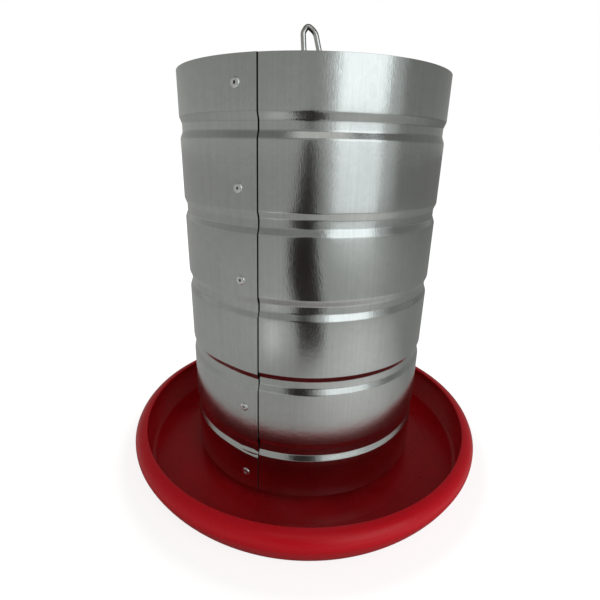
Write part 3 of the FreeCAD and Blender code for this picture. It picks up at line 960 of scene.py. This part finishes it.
def nut(node):
    """Hexagon nut with chamfered corners and a threaded bore."""
    low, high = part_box(node)
    bottom = low[2]
    height = high[2] - low[2]
    flat = NUT_ACROSS_FLATS / 2
    corner = flat / math.cos(math.pi / 6)
    segments = 96
    chamfer = (corner - flat * 0.94) * math.tan(math.radians(30))

    def hexagon(angle):
        return flat / math.cos((angle + math.pi / 6) % (math.pi / 3) - math.pi / 6)

    def side(angle, level):
        from_face = min(level, height - level)
        return min(hexagon(angle), flat * 0.94 + from_face / math.tan(math.radians(30)))

    steps = 5
    levels = [chamfer * step / steps for step in range(steps + 1)]
    levels += [height - level for level in reversed(levels)]
    vertices = []
    rows = []
    for level in levels:
        row = []
        for index in range(segments):
            angle = TAU * index / segments
            reach = side(angle, level)
            row.append(len(vertices))
            vertices.append(Vector((reach * math.cos(angle), reach * math.sin(angle), bottom + level)))
        rows.append(row)
    bore = ROD_RADIUS + 0.05 * MM
    mouth = 0.4 * MM
    turns = 8
    thread_rows = int((height - 2 * mouth) / THREAD_PITCH * turns)
    bore_levels = [(bore + mouth, height, 0)]
    bore_levels += [(bore, height - mouth - (height - 2 * mouth) * step / thread_rows, 1)
                    for step in range(thread_rows + 1)]
    bore_levels.append((bore + mouth, 0.0, 0))
    for radius, level, threaded in bore_levels:
        row = []
        for index in range(segments):
            angle = TAU * index / segments
            phase = ((bottom + level) / THREAD_PITCH - angle / TAU) % 1.0
            reach = radius + threaded * 0.25 * MM * abs(2 * phase - 1)
            row.append(len(vertices))
            vertices.append(Vector((reach * math.cos(angle), reach * math.sin(angle), bottom + level)))
        rows.append(row)
    faces = band_faces(rows, closed=True)
    piece = new_piece(f"{node}_hex", vertices, faces, MATERIALS["zinc_fastener"], 25.0)
    settle(piece, node, "base")


def washer(node):
    """Stamped washer: rolled edge on the top face, crisp edge below."""
    low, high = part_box(node)
    outer = (high[0] - low[0]) / 2
    inner = WASHER_BORE_RADIUS
    bottom, top = low[2], high[2]
    roll = 0.5 * MM
    outline = [(inner + 0.1 * MM, bottom), (outer - 0.1 * MM, bottom), (outer, bottom + 0.1 * MM)]
    outline += arc_points((outer - roll, top - roll), roll, 0, math.pi / 2, 5)
    outline += arc_points((inner + roll * 0.6, top - roll * 0.6), roll * 0.6, math.pi / 2, math.pi, 4)
    outline.append((inner, bottom + 0.1 * MM))
    vertices, faces = lathe(without_repeats(outline), 64, True)
    piece = new_piece(f"{node}_stamped", vertices, faces, MATERIALS["zinc_fastener"], 50.0)
    settle(piece, node, "base")


# ---- stage ----

def flat_card(name, corners, material):
    """Flat polygon that belongs to the stage."""
    mesh = bpy.data.meshes.new(name)
    mesh.from_pydata(corners, [], [list(range(len(corners)))])
    mesh.materials.append(material)
    card = bpy.data.objects.new(name, mesh)
    bpy.context.collection.objects.link(card)
    return card


def floor():
    """Large matt floor with soft pools of painted light and a painted contact shadow round the pan, lifted
    to a plain pale backdrop for the camera.
    """
    recipe = Recipe("stage_floor")
    recipe.fixed(Roughness=0.9, Specular_IOR_Level=0.1, Emission_Color=(1, 1, 1, 1))
    _, distance, _ = recipe.around()
    # Painted contact shadow: within reach of the pan the floor is darker and gets no glow.
    clear = recipe.ramp(distance, 0.25, 0.31, 0.0, 1.0)
    recipe.drive(Base_Color=recipe.mix(clear, (0.40, 0.40, 0.39, 1), (0.78, 0.78, 0.76, 1)))
    split = recipe.add("ShaderNodeSeparateXYZ")
    recipe.tree.links.new(recipe.coords, split.inputs[0])
    # Painted light: the floor's glow, stronger at the left and in the pools.
    glow = recipe.ramp(split.outputs[0], -0.1, 0.35, 0.19, 0.05)
    for x, y, reach, radiance in FLOOR_POOLS:
        gap = recipe.add("ShaderNodeVectorMath", {"operation": "DISTANCE"})
        recipe.tree.links.new(recipe.coords, gap.inputs[0])
        gap.inputs[1].default_value = (x, y, 0)
        glow = recipe.math("ADD", glow, recipe.ramp(gap.outputs["Value"], 0.0, reach, radiance, 0.0))
    glow = recipe.math("MULTIPLY", glow, clear)
    seen = recipe.add("ShaderNodeLightPath").outputs["Is Camera Ray"]
    recipe.drive(Emission_Strength=recipe.math("MULTIPLY_ADD", seen, FLOOR_LIFT, glow))
    corners = [(x * FLOOR_REACH, y * FLOOR_REACH, FLOOR_DEPTH)
               for x, y in ((-1, -1), (1, -1), (1, 1), (-1, 1))]
    flat_card("stage_floor", corners, recipe.material)


def dark_card():
    """Narrow dark flag at the viewpoint, which the bright metal mirrors as a dark band."""
    material = bpy.data.materials.new("stage_dark")
    material.use_nodes = True
    shader = material.node_tree.nodes["Principled BSDF"]
    shader.inputs["Base Color"].default_value = (0.07, 0.055, 0.05, 1)
    shader.inputs["Roughness"].default_value = 0.9
    shader.inputs["Specular IOR Level"].default_value = 0.1
    corners = [(right, DARK_CARD_Y, height) for height, _, right in DARK_CARD_EDGES]
    corners += [(left, DARK_CARD_Y, height) for height, left, _ in reversed(DARK_CARD_EDGES)]
    flat_card("stage_dark_card", corners, material).visible_camera = False


def area_light(name, azimuth, distance, height, width, tall, radiance, colour, aim):
    """Softbox that looks at a height on the object's axis; its power follows from its radiance."""
    data = bpy.data.lights.new(name, "AREA")
    data.shape = "RECTANGLE"
    data.size = width
    data.size_y = tall
    data.energy = radiance * math.pi * width * tall
    data.color = colour
    light = bpy.data.objects.new(name, data)
    bpy.context.collection.objects.link(light)
    light.location = outward(azimuth) * distance + Vector((0, 0, height))
    light.rotation_mode = "QUATERNION"
    light.rotation_quaternion = (light.location - Vector((0, 0, aim))).to_track_quat("Z", "Y")


def world_light():
    """Soft room, darker at the right and overhead; the camera sees it as a plain pale backdrop."""
    world = bpy.data.worlds.new("studio")
    bpy.context.scene.world = world
    world.use_nodes = True
    tree = world.node_tree
    nodes, links = tree.nodes, tree.links
    nodes.clear()
    output = nodes.new("ShaderNodeOutputWorld")
    path = nodes.new("ShaderNodeLightPath")
    coords = nodes.new("ShaderNodeTexCoord")
    split = nodes.new("ShaderNodeSeparateXYZ")
    rise = nodes.new("ShaderNodeMapRange")
    side = nodes.new("ShaderNodeMapRange")
    zenith = nodes.new("ShaderNodeMapRange")
    for node, limits in ((rise, ROOM_RISE), (side, ROOM_SIDE), (zenith, ROOM_ZENITH)):
        for key, value in zip(("From Min", "From Max", "To Min", "To Max"), limits):
            node.inputs[key].default_value = value
    strength = nodes.new("ShaderNodeMath")
    strength.operation = "MULTIPLY"
    dimmed = nodes.new("ShaderNodeMath")
    dimmed.operation = "MULTIPLY"
    room = nodes.new("ShaderNodeBackground")
    room.inputs["Color"].default_value = ROOM_COLOUR
    backdrop = nodes.new("ShaderNodeBackground")
    backdrop.inputs["Color"].default_value = (1, 1, 1, 1)
    mix = nodes.new("ShaderNodeMixShader")
    links.new(coords.outputs["Generated"], split.inputs[0])
    links.new(split.outputs[2], rise.inputs["Value"])
    links.new(split.outputs[0], side.inputs["Value"])
    links.new(rise.outputs["Result"], strength.inputs[0])
    links.new(side.outputs["Result"], strength.inputs[1])
    links.new(split.outputs[2], zenith.inputs["Value"])
    links.new(strength.outputs[0], dimmed.inputs[0])
    links.new(zenith.outputs["Result"], dimmed.inputs[1])
    links.new(dimmed.outputs[0], room.inputs["Strength"])
    links.new(path.outputs["Is Camera Ray"], mix.inputs[0])
    links.new(room.outputs[0], mix.inputs[1])
    links.new(backdrop.outputs[0], mix.inputs[2])
    links.new(mix.outputs[0], output.inputs["Surface"])


def studio():
    """Room light, floor, dark card, three window-like softboxes at the right front and one overhead."""
    world_light()
    floor()
    dark_card()
    for light in LIGHTS:
        area_light(*light)


def camera():
    """Camera at the pictured viewpoint: close, a little left of centre, looking down at the front."""
    data = bpy.data.cameras.new("camera")
    data.sensor_width = 36.0
    data.lens = CAMERA_LENS
    data.clip_start = 0.01
    data.clip_end = 200.0
    eye = bpy.data.objects.new("camera", data)
    bpy.context.collection.objects.link(eye)
    pitch = math.radians(CAMERA_PITCH)
    roll = math.radians(CAMERA_ROLL)
    pan_angle = math.radians(CAMERA_PAN)
    level = Vector((math.sin(pan_angle), math.cos(pan_angle), 0))
    right = Vector((math.cos(pan_angle), -math.sin(pan_angle), 0))
    forward = level * math.cos(pitch) - Vector((0, 0, math.sin(pitch)))
    up = Vector((0, 0, math.cos(pitch))) + level * math.sin(pitch)
    rolled_right = right * math.cos(roll) + up * math.sin(roll)
    rolled_up = up * math.cos(roll) - right * math.sin(roll)
    turn = Matrix((rolled_right, rolled_up, -forward)).transposed()
    eye.matrix_world = Matrix.Translation(CAMERA_PLACE) @ turn.to_4x4()
    bpy.context.scene.camera = eye


bpy.context.scene.view_settings.view_transform = "Standard"
camera()
studio()
MATERIALS = {make.__name__: make() for make in (
    galvanised_sheet, red_plastic, rivet_aluminium, mandrel_steel, rod_steel, zinc_fastener,
    galvanised_bar, pin_steel)}
tube_sheet()
all_rivets()
crossbars()
pan()
hanger_rod()
height_pin()
for part in ("pan_upper_nut", "pan_lower_nut"):
    nut(part)
for part in ("pan_upper_washer", "pan_lower_washer", "tube_rest_washer"):
    washer(part)
